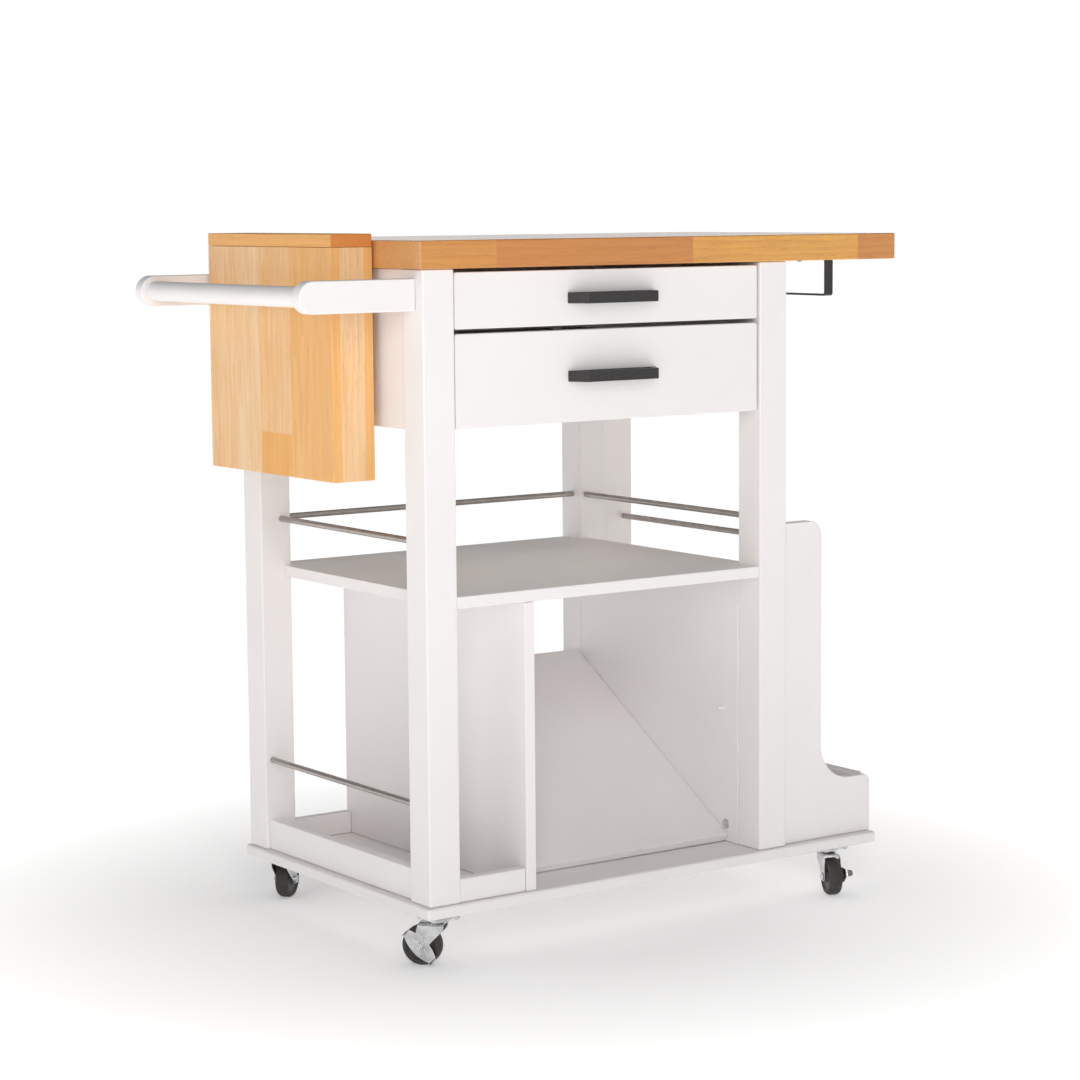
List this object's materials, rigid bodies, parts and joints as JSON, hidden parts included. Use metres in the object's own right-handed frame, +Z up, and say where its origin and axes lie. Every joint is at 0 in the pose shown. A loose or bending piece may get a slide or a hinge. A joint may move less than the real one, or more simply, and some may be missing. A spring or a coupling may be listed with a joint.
{
  "type": "kitchen island cart",
  "caption": "Rolling kitchen cart with a wooden worktop, drawers, shelf, side rack, push handle, knife block and braked swivel casters.",
  "frame": {"origin": "on the floor under the middle of the whole cart, handle and pulls included", "axes": "+X to the right seen from the drawer side, away from the push handle; +Y to the back; +Z up"},
  "size_m": [0.9075, 0.4849, 0.895],
  "materials": {
    "white_lacquer": "satin white lacquer",
    "worktop_wood": "oiled orange-brown staves",
    "block_wood": "oiled honey-coloured staves",
    "steel_rod": "brushed",
    "black_metal": "satin black",
    "zinc_plate": "bright zinc",
    "wheel_rubber": "matt black",
    "slide_steel": "zinc",
    "drawer_board": "plain white foil"
  },
  "bodies": {
    "cart": {"leg_front_left": "white_lacquer", "leg_front_right": "white_lacquer", "leg_back_left": "white_lacquer", "leg_back_right": "white_lacquer", "base_board": "white_lacquer", "middle_shelf": "white_lacquer", "divider": "white_lacquer", "right_panel": "white_lacquer", "slanted_board": "white_lacquer", "apron_left": "white_lacquer", "apron_right": "white_lacquer", "apron_back": "white_lacquer", "lip_left": "white_lacquer", "lip_front": "white_lacquer", "lip_back": "white_lacquer", "cheek_front": "white_lacquer", "cheek_back": "white_lacquer", "rack_outer_board": "white_lacquer", "handle_arm_front": "white_lacquer", "handle_arm_back": "white_lacquer", "handle_bar": "white_lacquer", "worktop": "worktop_wood", "knife_block": "block_wood", "knife_block_cap": "block_wood", "rod_upper_left": "steel_rod", "rod_back": "steel_rod", "rod_right_inner": "steel_rod", "rod_rack_outer": "steel_rod", "rod_lower_left": "steel_rod", "towel_rail": "black_metal", "caster_plate_front_left": "zinc_plate", "caster_plate_front_right": "zinc_plate", "caster_plate_back_left": "zinc_plate", "caster_plate_back_right": "zinc_plate", "slide_fixed_upper_left": "slide_steel", "slide_fixed_upper_right": "slide_steel", "slide_fixed_lower_left": "slide_steel", "slide_fixed_lower_right": "slide_steel"},
    "drawer_upper": {"drawer_front_upper": "white_lacquer", "drawer_box_upper": "drawer_board", "drawer_bottom_upper": "drawer_board", "pull_upper": "black_metal", "slide_moving_upper_left": "slide_steel", "slide_moving_upper_right": "slide_steel"},
    "drawer_lower": {"drawer_front_lower": "white_lacquer", "drawer_box_lower": "drawer_board", "drawer_bottom_lower": "drawer_board", "pull_lower": "black_metal", "slide_moving_lower_left": "slide_steel", "slide_moving_lower_right": "slide_steel"},
    "swivel_front_left": {"caster_fork_front_left": "zinc_plate"},
    "wheel_front_left": {"caster_wheel_front_left": "wheel_rubber"},
    "brake_front_left": {"brake_lever_front_left": "zinc_plate"},
    "swivel_front_right": {"caster_fork_front_right": "zinc_plate"},
    "wheel_front_right": {"caster_wheel_front_right": "wheel_rubber"},
    "brake_front_right": {"brake_lever_front_right": "zinc_plate"},
    "swivel_back_left": {"caster_fork_back_left": "zinc_plate"},
    "wheel_back_left": {"caster_wheel_back_left": "wheel_rubber"},
    "swivel_back_right": {"caster_fork_back_right": "zinc_plate"},
    "wheel_back_right": {"caster_wheel_back_right": "wheel_rubber"}
  },
  "joints": [
    {"name": "drawer_upper_slide", "type": "slide", "parent": "cart", "child": "drawer_upper", "axis": [0, -1, 0], "range_m": [0, 0.3]},
    {"name": "drawer_lower_slide", "type": "slide", "parent": "cart", "child": "drawer_lower", "axis": [0, -1, 0], "range_m": [0, 0.3]},
    {"name": "swivel_front_left", "type": "hinge", "parent": "cart", "child": "swivel_front_left", "pos_m": [-0.269, -0.194, 0.055], "axis": [0, 0, 1], "continuous": true},
    {"name": "wheel_front_left", "type": "hinge", "parent": "swivel_front_left", "child": "wheel_front_left", "pos_m": [-0.28199, -0.17879, 0.025], "axis": [-0.7604, -0.6494, 0], "continuous": true},
    {"name": "brake_front_left", "type": "hinge", "parent": "swivel_front_left", "child": "brake_front_left", "pos_m": [-0.28199, -0.17879, 0.025], "axis": [0.7604, 0.6494, 0], "range_deg": [-25, 0]},
    {"name": "swivel_front_right", "type": "hinge", "parent": "cart", "child": "swivel_front_right", "pos_m": [0.361, -0.193, 0.055], "axis": [0, 0, 1], "continuous": true},
    {"name": "wheel_front_right", "type": "hinge", "parent": "swivel_front_right", "child": "wheel_front_right", "pos_m": [0.35287, -0.21127, 0.025], "axis": [0.9135, -0.4067, 0], "continuous": true},
    {"name": "brake_front_right", "type": "hinge", "parent": "swivel_front_right", "child": "brake_front_right", "pos_m": [0.35287, -0.21127, 0.025], "axis": [-0.9135, 0.4067, 0], "range_deg": [0, 25]},
    {"name": "swivel_back_left", "type": "hinge", "parent": "cart", "child": "swivel_back_left", "pos_m": [-0.258, 0.209, 0.055], "axis": [0, 0, 1], "continuous": true},
    {"name": "wheel_back_left", "type": "hinge", "parent": "swivel_back_left", "child": "wheel_back_left", "pos_m": [-0.24246, 0.22159, 0.025], "axis": [-0.6293, 0.7771, 0], "continuous": true},
    {"name": "swivel_back_right", "type": "hinge", "parent": "cart", "child": "swivel_back_right", "pos_m": [0.361, 0.209, 0.055], "axis": [0, 0, 1], "continuous": true},
    {"name": "wheel_back_right", "type": "hinge", "parent": "swivel_back_right", "child": "wheel_back_right", "pos_m": [0.37979, 0.21584, 0.025], "axis": [-0.342, 0.9397, 0], "continuous": true}
  ]
}
